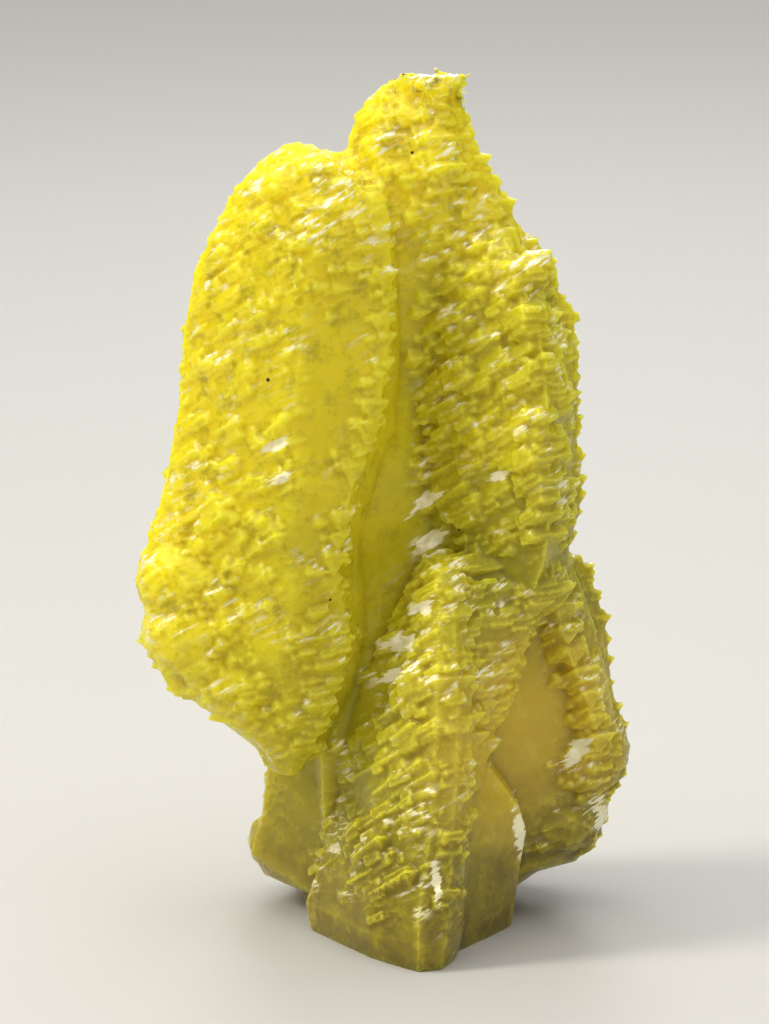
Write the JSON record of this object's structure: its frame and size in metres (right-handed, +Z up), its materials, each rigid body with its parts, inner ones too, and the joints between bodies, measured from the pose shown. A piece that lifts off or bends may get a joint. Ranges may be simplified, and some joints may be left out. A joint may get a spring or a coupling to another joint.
{
  "type": "sulfur crystal cluster",
  "caption": "Upright cluster of parallel, stepped native sulfur crystals grown as one solid, cut flat underneath so that it stands on display.",
  "frame": {"origin": "on the flat cut base, under the middle of the cluster", "axes": "+Z up along the crystals, from the cut base to the spire; -Y out of the ledged front"},
  "size_m": [0.0442, 0.0301, 0.0776],
  "materials": {
    "sulfur": "translucent, milky, resinous lustre"
  },
  "bodies": {
    "root": {"sulfur_crystal": "sulfur"}
  },
  "joints": []
}
